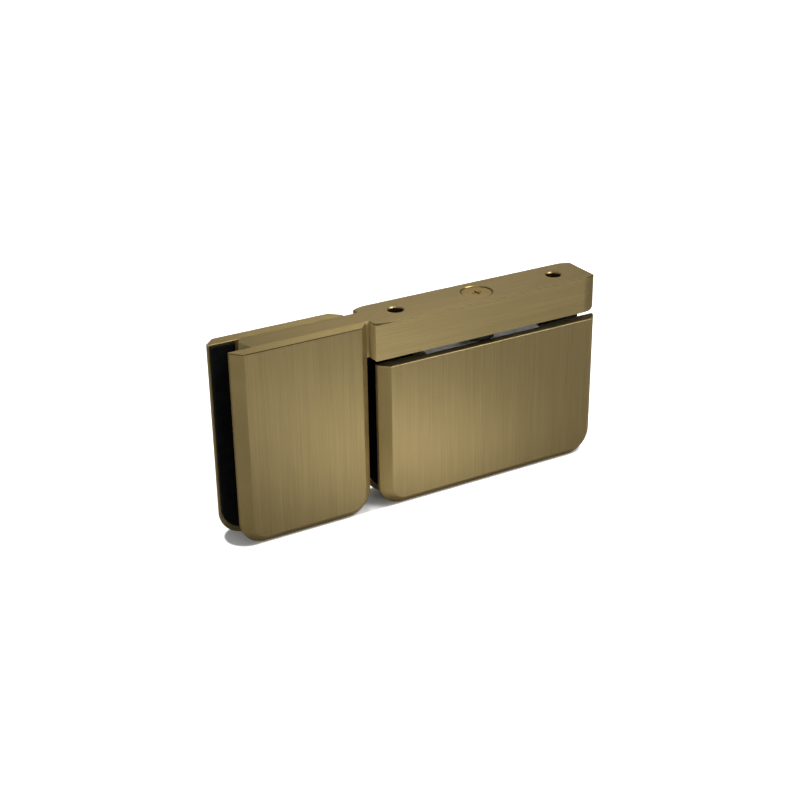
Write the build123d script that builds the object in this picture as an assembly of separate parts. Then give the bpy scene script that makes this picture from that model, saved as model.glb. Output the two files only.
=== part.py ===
from build123d import *
import os
from math import sqrt

# Glass door patch fitting: a header bar with a pivot hinge and a clamp for the glass panel beside the door.
# Millimetres. The origin is the pivot axis at the bar's top face. +X runs along the bar away from the side
# clamp, +Y to the back, where the screws are driven, and +Z up to the header.

# Glass and the layers that grip it
glass_thickness = 8.0
gasket_thickness = 1.2
plate_thickness = 5.9
slot_width = glass_thickness + 2 * gasket_thickness
body_depth = slot_width + 2 * plate_thickness
half_depth = body_depth / 2
half_slot = slot_width / 2

# Header bar and its tongue
bar_length = 111.0
bar_height = 17.0
bar_crown_length = 7.0
bar_crown_radius = 13.0
bar_end_round = 0.8
bar_lower_corner_radius = 3.0
bar_edge_break = 0.3
tongue_set_back = 7.8
tongue_tip_offset = 2.1
tongue_front_slant = 2.4
tongue_back_slant = 2.0
fixing_spacing = 80.0
fixing_hole_diameter = 7.0
fixing_sink_diameter = 13.5
hole_edge_break = 0.5

# Clamp plates, the same section on both clamps
plate_bevel = 4.4
plate_corner_radius = 11.0
plate_edge_break = 0.25
overall_height = 87.5

# Side clamp
side_plate_width = 61.0
side_plate_gap = 2.0
back_plate_offset = 4.1
side_screw_spacing = 26.0
side_upper_screw_depth = 8.5
side_lower_screw_depth = 52.0
side_gasket_gap = 0.5

# Door clamp
door_gap = 3.0
door_left_reach = 53.0
door_right_reach = 58.0
core_width = 58.0
core_height = 35.0
core_let_in = 1.6
core_corner_radius = 3.0
core_seat_clearance = 0.05
core_screw_spacing = 40.0
core_screw_depth = 47.0
door_lower_screw_spacing = 82.0
door_lower_screw_depth = 61.0
door_gasket_gap = 0.5
gasket_inset = 0.8
gasket_lower_inset = 3.0

# Clamp screws and sleeves
screw_diameter = 4.9
screw_head_diameter = 10.0
screw_thread_reach = 3.6
screw_head_sink = 0.1
screw_socket_size = 3.0
screw_socket_depth = 2.2
screw_hole_diameter = 5.3
thread_clearance = 0.05
sleeve_diameter = 9.0
sleeve_hole_clearance = 0.15
sleeve_end_clearance = 0.05

# Pivot pin, its lock screw and dowel
pin_spigot_diameter = 12.0
pin_spigot_length = 9.0
pin_diameter = 8.0
pin_length = 33.0
pin_end_break = 0.8
fit_clearance = 0.02
lock_head_diameter = 13.2
lock_head_land = 0.4
lock_head_recess = 0.35
lock_head_gap = 0.35
lock_shank_diameter = 6.0
lock_shank_length = 16.0
lock_hole_clearance = 0.2
lock_cross_size = 4.6
lock_cross_width = 1.1
lock_cross_depth = 2.2
lock_cross_taper = 12.5
dowel_diameter = 2.0
dowel_length = 6.0
dowel_offset = 4.5

# Bushes, retaining ring and end plug
bush_outer_diameter = 11.0
bush_running_clearance = 0.05
flange_diameter = 15.4
flange_running_clearance = 0.15
upper_bush_length = 8.0
lower_bush_length = 7.0
lower_bush_depth = 20.0
ring_thickness = 1.0
ring_outer_diameter = 10.4
ring_groove_depth = 0.7
ring_groove_play = 0.1
ring_opening = 3.0
end_bore_diameter = 11.6
plug_thickness = 2.5
cam_bore_diameter = 9.0

# Detents: a plunger, spring and adjusting screw each side of the pin
detent_depth_below_core_top = 13.5
plunger_diameter = 7.0
plunger_length = 8.0
plunger_bore_clearance = 0.05
plunger_ride_clearance = 0.1
dimple_depth = 0.6
dimple_clearance = 0.15
spring_wire_diameter = 1.0
spring_coil_diameter = 5.6
spring_turns = 4.5
spring_end_clearance = 0.05
adjuster_length = 7.0
adjuster_recess = 0.8
adjuster_socket_size = 3.0
adjuster_socket_depth = 3.5

# Levels and places that follow from the sizes above
bar_bottom = -bar_height
door_top = bar_bottom - door_gap
plate_bottom = -overall_height
core_bottom = door_top - core_height
half_core = half_slot + core_let_in
bar_end = bar_length / 2
side_right = -max(bar_end, door_left_reach) - side_plate_gap
side_left = side_right - side_plate_width
tongue_end = side_left + tongue_set_back
side_screw_centre = (side_left + side_right - back_plate_offset) / 2
side_screw_places = [
    (side_screw_centre + side * side_screw_spacing / 2, -depth)
    for depth in (side_upper_screw_depth, side_lower_screw_depth)
    for side in (-1, 1)
]
side_sleeve_places = side_screw_places[2:]
door_core_screw_places = [(side * core_screw_spacing / 2, -core_screw_depth) for side in (-1, 1)]
door_sleeve_places = [(side * door_lower_screw_spacing / 2, -door_lower_screw_depth) for side in (-1, 1)]
door_screw_places = door_core_screw_places + door_sleeve_places
detent_level = door_top - detent_depth_below_core_top
plunger_tip = pin_diameter / 2 + plunger_ride_clearance
adjuster_outer = core_width / 2 - adjuster_recess
adjuster_inner = adjuster_outer - adjuster_length


def y_cylinder(diameter, x, z, y_from, y_to):
    """A round bar along Y, from one depth to another."""
    plane = Plane(origin=(x, y_from, z), z_dir=(0, 1, 0))
    return extrude(plane * Circle(diameter / 2), y_to - y_from)


def x_cylinder(diameter, z, x_from, x_to):
    """A round bar along X through the pivot axis."""
    plane = Plane(origin=(x_from, 0, z), z_dir=(1, 0, 0))
    return extrude(plane * Circle(diameter / 2), x_to - x_from)


def z_cylinder(diameter, z_from, z_to, x=0.0):
    """An upright round bar on the bar's centreline."""
    plane = Plane(origin=(x, 0, z_from))
    return extrude(plane * Circle(diameter / 2), z_to - z_from)


def upright_slab(outline, y_from, y_to):
    """Extrudes an outline drawn in X and Z between two depths."""
    plane = Plane(origin=(0, y_to, 0), x_dir=(1, 0, 0), z_dir=(0, -1, 0))
    return extrude(plane * outline, y_to - y_from)


def rounded_below(left, right, bottom, top, radius):
    """A rectangle in X and Z with its two lower corners rounded."""
    outline = Pos((left + right) / 2, (bottom + top) / 2) * Rectangle(right - left, top - bottom)
    lower = outline.vertices().group_by(Axis.Y)[0]
    return fillet(lower, radius)


def bar_plan():
    """Half of the bar's plan is drawn and mirrored: straight sides that curve in towards each end."""
    start = bar_end - bar_crown_length
    drop = bar_crown_radius - sqrt(bar_crown_radius**2 - bar_crown_length**2)
    half_way = bar_crown_length / 2
    half_drop = bar_crown_radius - sqrt(bar_crown_radius**2 - half_way**2)
    middle = (start + half_way, half_depth - half_drop)
    corner = (bar_end, half_depth - drop)
    side = Line((0, half_depth), (start, half_depth))
    crown = ThreePointArc((start, half_depth), middle, corner)
    end = Line(corner, (bar_end, 0))
    quarter = Curve() + [side, crown, end]
    half = quarter + mirror(quarter, Plane.XZ)
    plan = make_face((half + mirror(half, Plane.YZ)).edges())
    corners = [v for v in plan.vertices() if abs(abs(v.X) - bar_end) < 0.01 and abs(v.Y) > 1.0]
    return fillet(corners, bar_end_round)


def bar_front():
    """The bar seen from the front, with its lower right corner rounded."""
    outline = Pos(0, -bar_height / 2) * Rectangle(bar_length, bar_height)
    lower_right = outline.vertices().group_by(Axis.Y)[0].sort_by(Axis.X)[-1]
    return fillet(lower_right, bar_lower_corner_radius)


def bar_body():
    """The bar alone: its plan and its front view cut each other, and the upper and lower edges are broken."""
    body = extrude(bar_plan(), -bar_height) & upright_slab(bar_front(), -half_depth, half_depth)
    top_edges = body.faces().sort_by(Axis.Z)[-1].edges()
    return chamfer(top_edges, bar_edge_break)


def tongue():
    """The tongue that runs on from the bar's left end and fills the top of the side clamp, with a blunt point."""
    inside_bar = bar_end - bar_crown_length
    plan = Polyline(
        (-inside_bar, -half_slot), (tongue_end + tongue_front_slant, -half_slot), (tongue_end, tongue_tip_offset),
        (tongue_end + tongue_back_slant, half_slot), (-inside_bar, half_slot), close=True,
    )
    return extrude(make_face(plan), -bar_height)


def fixing_hole(x):
    """A through hole with a broken rim on top and a countersink below for the header screw's head."""
    hole = z_cylinder(fixing_hole_diameter, bar_bottom, 0, x)
    sink_depth = (fixing_sink_diameter - fixing_hole_diameter) / 2
    sink = Pos(x, 0, bar_bottom + sink_depth / 2) * Cone(
        fixing_sink_diameter / 2, fixing_hole_diameter / 2, sink_depth
    )
    rim = Pos(x, 0, -hole_edge_break / 2) * Cone(
        fixing_hole_diameter / 2, fixing_hole_diameter / 2 + hole_edge_break, hole_edge_break
    )
    return hole + sink + rim


def lock_screw_seat():
    """The stepped hole in the bar's middle, for the lock screw's head above and the pin's spigot below."""
    mouth = lock_head_diameter / 2 + lock_head_gap
    hole = lock_shank_diameter / 2 + lock_hole_clearance
    land = lock_head_recess + lock_head_land
    cone_depth = mouth - hole
    profile = Polyline(
        (0, 0), (mouth, 0), (mouth, -land), (hole, -land - cone_depth), (hole, bar_bottom + pin_spigot_length),
        (pin_spigot_diameter / 2 + fit_clearance, bar_bottom + pin_spigot_length),
        (pin_spigot_diameter / 2 + fit_clearance, bar_bottom), (0, bar_bottom), close=True,
    )
    return revolve(Plane.XZ * make_face(profile), Axis.Z)


def dowel_hole():
    """The hole half in the bar and half in the pin for the dowel that stops the pin turning."""
    middle = bar_bottom + pin_spigot_length
    diameter = dowel_diameter + 2 * fit_clearance
    return z_cylinder(diameter, middle - dowel_length / 2, middle + dowel_length / 2, dowel_offset)


def header_bar():
    """The bar and tongue in one piece."""
    body = bar_body() + tongue()
    for side in (-1, 1):
        body -= fixing_hole(side * fixing_spacing / 2)
    body -= lock_screw_seat()
    body -= dowel_hole()
    for x, z in side_screw_places[:2]:
        body -= y_cylinder(screw_hole_diameter, x, z, -half_depth, half_depth)
    return body


def clamp_plate(left, right, top):
    """A front plate: flat on top, bevelled on its other three sides, with round lower corners."""
    outline = rounded_below(left, right, plate_bottom, top, plate_corner_radius)
    plate = upright_slab(outline, -half_depth, -half_slot)
    face_edges = plate.faces().sort_by(Axis.Y)[0].edges()
    bevelled = [edge for edge in face_edges if edge.center().Z < top - plate_edge_break]
    plate = chamfer(bevelled, plate_bevel)
    top_edges = plate.faces().sort_by(Axis.Z)[-1].edges()
    outer = [edge for edge in top_edges if edge.center().Y < -half_slot - plate_edge_break]
    return chamfer(outer, plate_edge_break)


def thread_hole(x, z):
    """A blind hole in a front plate for the end of a clamp screw."""
    diameter = screw_diameter + 2 * thread_clearance
    return y_cylinder(diameter, x, z, -half_slot - screw_thread_reach - 2 * thread_clearance, -half_slot)


def countersunk_hole(x, z):
    """A screw hole through a back plate with a countersink for the head."""
    hole = y_cylinder(screw_hole_diameter, x, z, half_slot, half_depth)
    mouth = screw_head_diameter / 2 + 2 * thread_clearance
    depth = mouth - screw_hole_diameter / 2
    cone = Cone(screw_hole_diameter / 2, mouth, depth)
    return hole + Pos(x, half_depth - depth / 2, z) * Rot(-90, 0, 0) * cone


def core_pocket():
    """The shallow pocket for the core block in the inner faces of both door plates."""
    half_width = core_width / 2 + core_seat_clearance
    bottom = core_bottom - core_seat_clearance
    outline = rounded_below(-half_width, half_width, bottom, door_top, core_corner_radius)
    return upright_slab(outline, -half_core - core_seat_clearance, half_core + core_seat_clearance)


def side_front_plate():
    plate = clamp_plate(side_left, side_right, 0)
    for x, z in side_screw_places:
        plate -= thread_hole(x, z)
    return plate


def side_back_plate():
    """The back plate is the front one turned round, and sits further out along the side panel."""
    plate = Pos(-back_plate_offset, 0, 0) * mirror(clamp_plate(side_left, side_right, 0), Plane.XZ)
    for x, z in side_screw_places:
        plate -= countersunk_hole(x, z)
    return plate


def door_front_plate():
    plate = clamp_plate(-door_left_reach, door_right_reach, door_top) - core_pocket()
    for x, z in door_screw_places:
        plate -= thread_hole(x, z)
    return plate


def door_back_plate():
    plate = mirror(clamp_plate(-door_left_reach, door_right_reach, door_top), Plane.XZ) - core_pocket()
    for x, z in door_screw_places:
        plate -= countersunk_hole(x, z)
    return plate


def sleeve_openings(places, y_from, y_to):
    """The holes in a gasket for the sleeves."""
    diameter = sleeve_diameter + 2 * sleeve_hole_clearance
    return [y_cylinder(diameter, x, z, y_from, y_to) for x, z in places]


def side_gasket(offset):
    """A gasket that lines a front side plate below the tongue and up past the tongue's end."""
    left = side_left + offset + gasket_inset
    right = side_right + offset - gasket_inset
    bottom = plate_bottom + gasket_lower_inset
    outline = rounded_below(left, right, bottom, -gasket_inset, plate_corner_radius - gasket_inset)
    notch_left = tongue_end - side_gasket_gap
    notch_bottom = bar_bottom - side_gasket_gap
    notch_right = right + side_gasket_gap
    notch = Pos((notch_left + notch_right) / 2, notch_bottom / 2)
    outline -= notch * Rectangle(notch_right - notch_left, -notch_bottom)
    gasket = upright_slab(outline, -half_slot, -half_slot + gasket_thickness)
    for hole in sleeve_openings(side_sleeve_places, -half_slot, half_slot):
        gasket -= hole
    return gasket


def side_back_gasket():
    gasket = mirror(side_gasket(-back_plate_offset), Plane.XZ)
    return gasket


def door_front_gasket():
    """A gasket that lines a door plate on the three sides of the core block."""
    left = -door_left_reach + gasket_inset
    right = door_right_reach - gasket_inset
    bottom = plate_bottom + gasket_lower_inset
    outline = rounded_below(left, right, bottom, door_top - gasket_inset, plate_corner_radius - gasket_inset)
    half_notch = core_width / 2 + door_gasket_gap
    notch_bottom = core_bottom - door_gasket_gap
    outline -= rounded_below(-half_notch, half_notch, notch_bottom, door_top, core_corner_radius)
    gasket = upright_slab(outline, -half_slot, -half_slot + gasket_thickness)
    for hole in sleeve_openings(door_sleeve_places, -half_slot, half_slot):
        gasket -= hole
    return gasket


def sleeves(places):
    """Plastic sleeves between the plates, round the screws that pass through the glass."""
    half_length = half_slot - sleeve_end_clearance
    pieces = []
    for x, z in places:
        outer = y_cylinder(sleeve_diameter, x, z, -half_length, half_length)
        pieces.append(outer - y_cylinder(screw_hole_diameter, x, z, -half_length, half_length))
    return Compound(children=pieces)


def hexagon_socket(size, depth):
    """A hexagon socket pointing down from the origin, given across its flats."""
    return extrude(RegularPolygon(size / 2, 6, major_radius=False), -depth)


def clamp_screw():
    """A countersunk socket screw with its head at the origin and its shank down -Z."""
    head = screw_head_diameter / 2
    shank = screw_diameter / 2
    length = half_depth - screw_head_sink + half_slot + screw_thread_reach
    profile = Polyline((0, 0), (head, 0), (shank, -(head - shank)), (shank, -length), (0, -length), close=True)
    return revolve(Plane.XZ * make_face(profile), Axis.Z) - hexagon_socket(screw_socket_size, screw_socket_depth)


def clamp_screws(places):
    """One clamp screw at each place, driven in from the back."""
    screw = clamp_screw()
    turn = Rot(-90, 0, 0)
    return Compound(children=[Pos(x, half_depth - screw_head_sink, z) * turn * screw for x, z in places])


def ring_groove():
    """The groove near the pin's lower end for the retaining ring."""
    top = lower_bush_bottom() - ring_groove_play / 2
    outer = z_cylinder(pin_diameter + 1, top - ring_thickness - ring_groove_play, top)
    inner = z_cylinder(pin_diameter - 2 * ring_groove_depth, top - ring_thickness - ring_groove_play, top)
    return outer - inner


def lower_bush_bottom():
    """The level of the lower bush's underside, where the retaining ring bears."""
    return door_top - lower_bush_depth - lower_bush_length


def plunger_nose_centre(tip):
    """How far the centre of a plunger's round nose lies from the pivot axis."""
    return tip + plunger_diameter / 2


def detent_dimples():
    """Four dimples round the pin, a quarter turn apart, that the plungers' noses drop into."""
    radius = plunger_diameter / 2 + dimple_clearance
    centre = pin_diameter / 2 - dimple_depth + radius
    ball = Pos(centre, 0, detent_level) * Sphere(radius)
    return [Rot(0, 0, 90 * turn) * ball for turn in range(4)]


def pivot_pin():
    """A spigot in the bar, then the journal that the door clamp turns on."""
    spigot_top = bar_bottom + pin_spigot_length
    journal_end = bar_bottom - pin_length
    pin = z_cylinder(pin_spigot_diameter, bar_bottom, spigot_top) + z_cylinder(pin_diameter, journal_end, bar_bottom)
    lower_edge = pin.faces().sort_by(Axis.Z)[0].edges()
    pin = chamfer(lower_edge, pin_end_break)
    thread = lock_shank_diameter + 2 * thread_clearance
    pin -= z_cylinder(thread, bar_bottom + thread_clearance, spigot_top)
    pin -= dowel_hole()
    pin -= ring_groove()
    for dimple in detent_dimples():
        pin -= dimple
    return pin


def cross_recess():
    """The lock screw's cross recess, tapering as it goes down."""
    arms = [Rectangle(lock_cross_size, lock_cross_width), Rectangle(lock_cross_width, lock_cross_size)]
    return [extrude(arm, -lock_cross_depth / 2, taper=lock_cross_taper) for arm in arms]


def pivot_lock_screw():
    """A flat-headed screw that pulls the pin up into the bar."""
    head = lock_head_diameter / 2
    shank = lock_shank_diameter / 2
    cone_bottom = -lock_head_land - (head - shank)
    length = lock_shank_length
    profile = Polyline(
        (0, 0), (head, 0), (head, -lock_head_land), (shank, cone_bottom), (shank, -length), (0, -length),
        close=True,
    )
    screw = revolve(Plane.XZ * make_face(profile), Axis.Z)
    for arm in cross_recess():
        screw -= arm
    return Pos(0, 0, -lock_head_recess) * screw


def pin_index_dowel():
    middle = bar_bottom + pin_spigot_length
    half = dowel_length / 2 - fit_clearance
    return z_cylinder(dowel_diameter, middle - half, middle + half, dowel_offset)


def core_blank():
    """The outside of the core block."""
    outline = rounded_below(-core_width / 2, core_width / 2, core_bottom, door_top, core_corner_radius)
    return upright_slab(outline, -half_core, half_core)


def core_bore():
    """The stepped upright bore: bush seat, cam bore, bush seat and end bore."""
    seat = bush_outer_diameter / 2 + fit_clearance
    cam = cam_bore_diameter / 2
    end = end_bore_diameter / 2
    upper_end = door_top - upper_bush_length
    lower_start = door_top - lower_bush_depth
    lower_end = lower_bush_bottom()
    profile = Polyline(
        (0, door_top), (seat, door_top), (seat, upper_end), (cam, upper_end), (cam, lower_start),
        (seat, lower_start), (seat, lower_end), (end, lower_end), (end, core_bottom), (0, core_bottom),
        close=True,
    )
    return revolve(Plane.XZ * make_face(profile), Axis.Z)


def door_core_block():
    block = core_blank() - core_bore()
    bore = plunger_diameter + 2 * plunger_bore_clearance
    block -= x_cylinder(bore, detent_level, -core_width / 2, core_width / 2)
    for x, z in door_core_screw_places:
        block -= y_cylinder(screw_hole_diameter, x, z, -half_core, half_core)
    return block


def upper_flange_bush():
    """The collar that fills the gap under the bar, with its sleeve down in the core block."""
    inner = pin_diameter / 2 + bush_running_clearance
    outer = bush_outer_diameter / 2
    flange = flange_diameter / 2
    top = bar_bottom - flange_running_clearance
    bottom = door_top - upper_bush_length
    profile = Polyline(
        (inner, top), (flange, top), (flange, door_top), (outer, door_top), (outer, bottom), (inner, bottom),
        close=True,
    )
    return revolve(Plane.XZ * make_face(profile), Axis.Z)


def lower_bush():
    top = door_top - lower_bush_depth
    inner = pin_diameter + 2 * bush_running_clearance
    sleeve = z_cylinder(bush_outer_diameter, lower_bush_bottom(), top)
    return sleeve - z_cylinder(inner, lower_bush_bottom(), top)


def pin_retaining_ring():
    """A spring ring with an opening, sprung into the pin's groove under the lower bush."""
    top = lower_bush_bottom() - ring_groove_play
    bottom = top - ring_thickness
    inner = pin_diameter - 2 * ring_groove_depth + 2 * fit_clearance
    ring = z_cylinder(ring_outer_diameter, bottom, top) - z_cylinder(inner, bottom, top)
    reach = ring_outer_diameter / 2
    opening = Pos(0, -reach / 2, (top + bottom) / 2) * Box(ring_opening, reach, 2 * ring_thickness)
    return ring - opening


def core_end_plug():
    return z_cylinder(end_bore_diameter - 2 * fit_clearance, core_bottom, core_bottom + plug_thickness)


def detent_plunger():
    """The right plunger: a round bar with a round nose towards the pin."""
    nose = plunger_nose_centre(plunger_tip)
    body = x_cylinder(plunger_diameter, detent_level, nose, plunger_tip + plunger_length)
    return body + Pos(nose, 0, detent_level) * Sphere(plunger_diameter / 2)


def detent_spring():
    """The right spring, between the plunger and the adjusting screw."""
    end_gap = spring_wire_diameter / 2 + spring_end_clearance
    start = plunger_tip + plunger_length + end_gap
    length = adjuster_inner - end_gap - start
    path = Helix(length / spring_turns, length, spring_coil_diameter / 2)
    section = Plane(origin=path @ 0, z_dir=path % 0) * Circle(spring_wire_diameter / 2)
    coil = sweep(section, path)
    return Pos(start, 0, detent_level) * Rot(0, 90, 0) * coil


def adjusting_screw():
    """The right adjusting screw, a headless screw with a hexagon socket in its outer end."""
    body = x_cylinder(plunger_diameter, detent_level, adjuster_inner, adjuster_outer)
    socket = hexagon_socket(adjuster_socket_size, adjuster_socket_depth)
    return body - Pos(adjuster_outer, 0, detent_level) * Rot(0, 90, 0) * socket


def on_the_left(piece):
    """The same piece on the other side of the pivot, turned half a turn about it."""
    return Rot(0, 0, 180) * piece


def write_nodes():
    """Writes each piece to its own file, named after the node."""
    right_plunger = detent_plunger()
    right_spring = detent_spring()
    right_adjuster = adjusting_screw()
    door_gasket = door_front_gasket()
    nodes = {
        "header_bar": header_bar(),
        "pivot_pin": pivot_pin(),
        "pivot_lock_screw": pivot_lock_screw(),
        "pin_index_dowel": pin_index_dowel(),
        "side_front_plate": side_front_plate(),
        "side_back_plate": side_back_plate(),
        "side_front_gasket": side_gasket(0),
        "side_back_gasket": side_back_gasket(),
        "side_glass_sleeves": sleeves(side_sleeve_places),
        "side_clamp_screws": clamp_screws(side_screw_places),
        "door_core_block": door_core_block(),
        "door_front_plate": door_front_plate(),
        "door_back_plate": door_back_plate(),
        "door_front_gasket": door_gasket,
        "door_back_gasket": mirror(door_gasket, Plane.XZ),
        "door_glass_sleeves": sleeves(door_sleeve_places),
        "door_clamp_screws": clamp_screws(door_screw_places),
        "upper_flange_bush": upper_flange_bush(),
        "lower_bush": lower_bush(),
        "pin_retaining_ring": pin_retaining_ring(),
        "core_end_plug": core_end_plug(),
        "right_detent_plunger": right_plunger,
        "left_detent_plunger": on_the_left(right_plunger),
        "right_detent_spring": right_spring,
        "left_detent_spring": on_the_left(right_spring),
        "right_adjusting_screw": right_adjuster,
        "left_adjusting_screw": on_the_left(right_adjuster),
    }
    os.makedirs("parts", exist_ok=True)
    for name, piece in nodes.items():
        piece.label = name
        export_step(piece, f"parts/{name}.step")


write_nodes()
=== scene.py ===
import sys
import logging
import math
from contextlib import contextmanager
from dataclasses import dataclass
from enum import Enum, IntEnum
from typing import Any, Iterator, Sequence

import bmesh
import bpy
from mathutils import Matrix, Vector


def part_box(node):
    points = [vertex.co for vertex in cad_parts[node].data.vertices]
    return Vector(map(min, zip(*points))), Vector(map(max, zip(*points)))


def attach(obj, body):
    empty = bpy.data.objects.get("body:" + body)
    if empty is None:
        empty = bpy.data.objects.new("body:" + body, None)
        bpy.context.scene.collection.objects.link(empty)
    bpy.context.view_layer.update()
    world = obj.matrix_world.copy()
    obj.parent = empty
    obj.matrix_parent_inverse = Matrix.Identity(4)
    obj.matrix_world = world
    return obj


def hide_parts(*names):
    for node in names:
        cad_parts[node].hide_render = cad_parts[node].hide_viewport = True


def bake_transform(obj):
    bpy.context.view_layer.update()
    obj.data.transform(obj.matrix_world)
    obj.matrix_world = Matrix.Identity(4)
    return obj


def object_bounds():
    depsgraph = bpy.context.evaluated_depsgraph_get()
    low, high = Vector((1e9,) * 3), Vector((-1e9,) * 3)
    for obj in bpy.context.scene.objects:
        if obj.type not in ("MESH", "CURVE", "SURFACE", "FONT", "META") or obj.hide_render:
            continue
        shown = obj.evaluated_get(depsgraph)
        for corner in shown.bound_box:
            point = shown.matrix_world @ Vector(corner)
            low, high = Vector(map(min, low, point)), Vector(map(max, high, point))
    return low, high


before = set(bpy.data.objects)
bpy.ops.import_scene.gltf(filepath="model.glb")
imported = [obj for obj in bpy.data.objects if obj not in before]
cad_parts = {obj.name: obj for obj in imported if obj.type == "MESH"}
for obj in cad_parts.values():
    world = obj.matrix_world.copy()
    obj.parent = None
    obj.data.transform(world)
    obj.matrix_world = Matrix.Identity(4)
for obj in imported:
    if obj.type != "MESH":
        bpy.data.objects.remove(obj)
CAD_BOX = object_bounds()

# The visual model of the glass door patch fitting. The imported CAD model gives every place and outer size, and this
# script gives its pieces their soft edges, screws, springs and finishes, and stands them in a pale studio.
# Metres, with +X along the bar away from the side clamp, +Y to the back and +Z up to the header.

MM = 0.001
WELD_MM = 0.001  # vertices closer than this are one vertex
SQUARE = 0.9999  # the least part of a normal that counts as square to an axis
HEXAGON = 2 / math.sqrt(3)  # a hexagon's corner radius for half its width across flats
END_PART = 0.2  # a face whose normal is nearer the grain than this is an end, which the grain doesn't cross
NOISE_LOW, NOISE_HIGH = 0.3, 0.7  # the usual range of a noise
BRONZE_TINT = "#f3e7d3"  # the colour of toned brass at a glancing angle
MATH, VECTOR_MATH, JOIN_XYZ = "ShaderNodeMath", "ShaderNodeVectorMath", "ShaderNodeCombineXYZ"
ADD, TAKE, TIMES, DIVIDE = ({"operation": name} for name in ("ADD", "SUBTRACT", "MULTIPLY", "DIVIDE"))
LOG = logging.getLogger("patch_fitting")
Material = bpy.types.Material
Node = bpy.types.Node
Piece = bpy.types.Object


class Grain(Enum):
    """The way a brushing belt ran over a face."""

    UPRIGHT = "upright"
    LENGTHWISE = "lengthwise"

    def direction(self) -> Vector:
        """Returns the unit vector along the brush marks."""
        return Vector((0, 0, 1)) if self is Grain.UPRIGHT else Vector((1, 0, 0))

    def marks(self, width_mm: float, length_mm: float) -> tuple[float, float, float]:
        """Gives the size of a brush mark along each axis.

        Args:
            width_mm: The width of a mark.
            length_mm: The length of a mark.

        Returns:
            The size along X, Y and Z, in millimetres.
        """
        if self is Grain.UPRIGHT:
            return width_mm, width_mm, length_mm
        return length_mm, width_mm, width_mm


def linear(hex_colour: str) -> tuple[float, float, float, float]:
    """Turns an sRGB hex colour into the linear colour that a shader takes.

    Args:
        hex_colour: Six hexadecimal digits after a hash sign.

    Returns:
        Red, green, blue and alpha.
    """
    parts = [int(hex_colour[i:i + 2], 16) / 255 for i in (1, 3, 5)]
    red, green, blue = (c / 12.92 if c <= 0.04045 else ((c + 0.055) / 1.055) ** 2.4 for c in parts)
    return red, green, blue, 1.0


class Nodes:
    """A node tree that is being built."""

    def __init__(self, tree: bpy.types.NodeTree) -> None:
        """Takes the tree to build in."""
        self.tree = tree

    def add(self, kind: str, settings: dict[str, Any] | None = None, *sources: Any, **named: Any) -> Node:
        """Adds one node with its settings, values and links.

        A source is a value, a socket, a node whose first output is linked, or a list of these.

        Args:
            kind: Blender's name for the kind of node.
            settings: The node's own properties.
            sources: What its first inputs take, in their order.
            named: What its other inputs take, by name, with underscores for spaces.

        Returns:
            The new node.
        """
        node = self.tree.nodes.new(kind)
        for name, value in (settings or {}).items():
            setattr(node, name, value)
        for number, value in enumerate(sources):
            self.feed(node.inputs[number], value)
        for name, value in named.items():
            self.feed(node.inputs[name.replace("_", " ")], value)
        return node

    def feed(self, socket: bpy.types.NodeSocket, value: Any) -> None:
        """Links a node, a socket or a list of them to an input, or sets the input's own value.

        Args:
            socket: The input.
            value: What it takes.
        """
        for source in value if isinstance(value, list) else [value]:
            if isinstance(source, Node):
                source = source.outputs[0]
            if isinstance(source, bpy.types.NodeSocket):
                self.tree.links.new(source, socket)
            else:
                socket.default_value = source


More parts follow.
